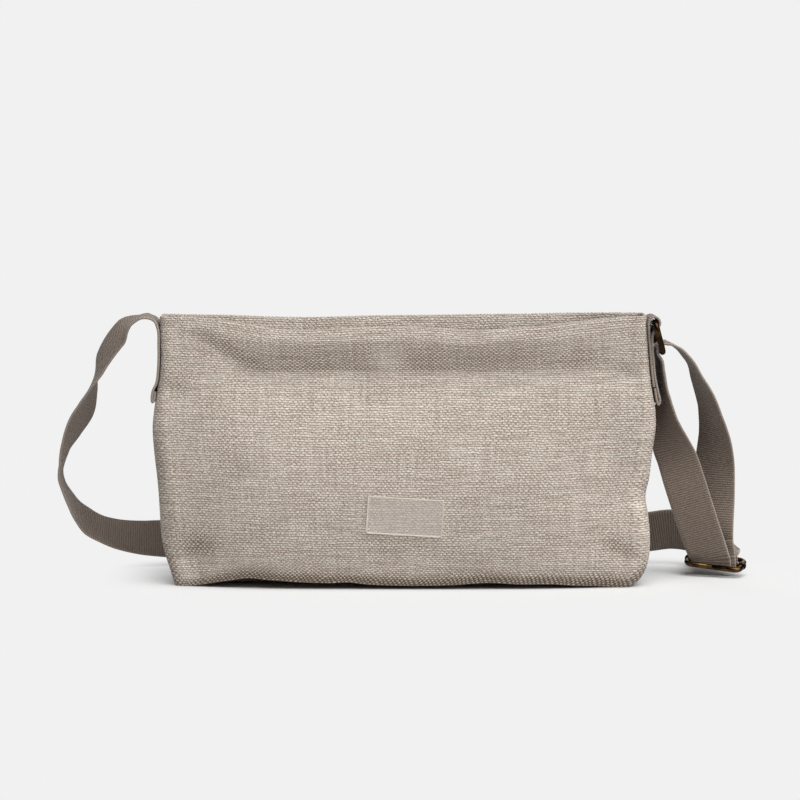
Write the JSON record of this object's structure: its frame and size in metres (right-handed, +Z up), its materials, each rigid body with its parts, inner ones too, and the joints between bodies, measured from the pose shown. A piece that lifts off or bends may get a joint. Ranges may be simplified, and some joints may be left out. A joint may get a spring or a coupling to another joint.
{
  "type": "crossbody bag",
  "caption": "Soft open-topped crossbody bag of coarse cloth with a boxed base, a ribbed webbing strap, a brass ring on a side tab and a brass slider.",
  "frame": {"origin": "on the surface that the bag stands on, under the middle of the bag and its ring", "axes": "+X to the right along the bag's width with the front seen, +Y from the front to the back, +Z up"},
  "size_m": [0.5021, 0.1335, 0.1956],
  "materials": {
    "cloth": "coarse plain weave, beige",
    "webbing": "ribbed, taupe",
    "brass": "antique, dark",
    "patch_rubber": "frosted, plain"
  },
  "bodies": {
    "root": {"front_panel": "cloth", "back_panel": "cloth", "shoulder_strap": "webbing", "ring_tab": "webbing", "strap_ring": "brass", "strap_slider": "brass", "label_patch": "patch_rubber"}
  },
  "joints": []
}
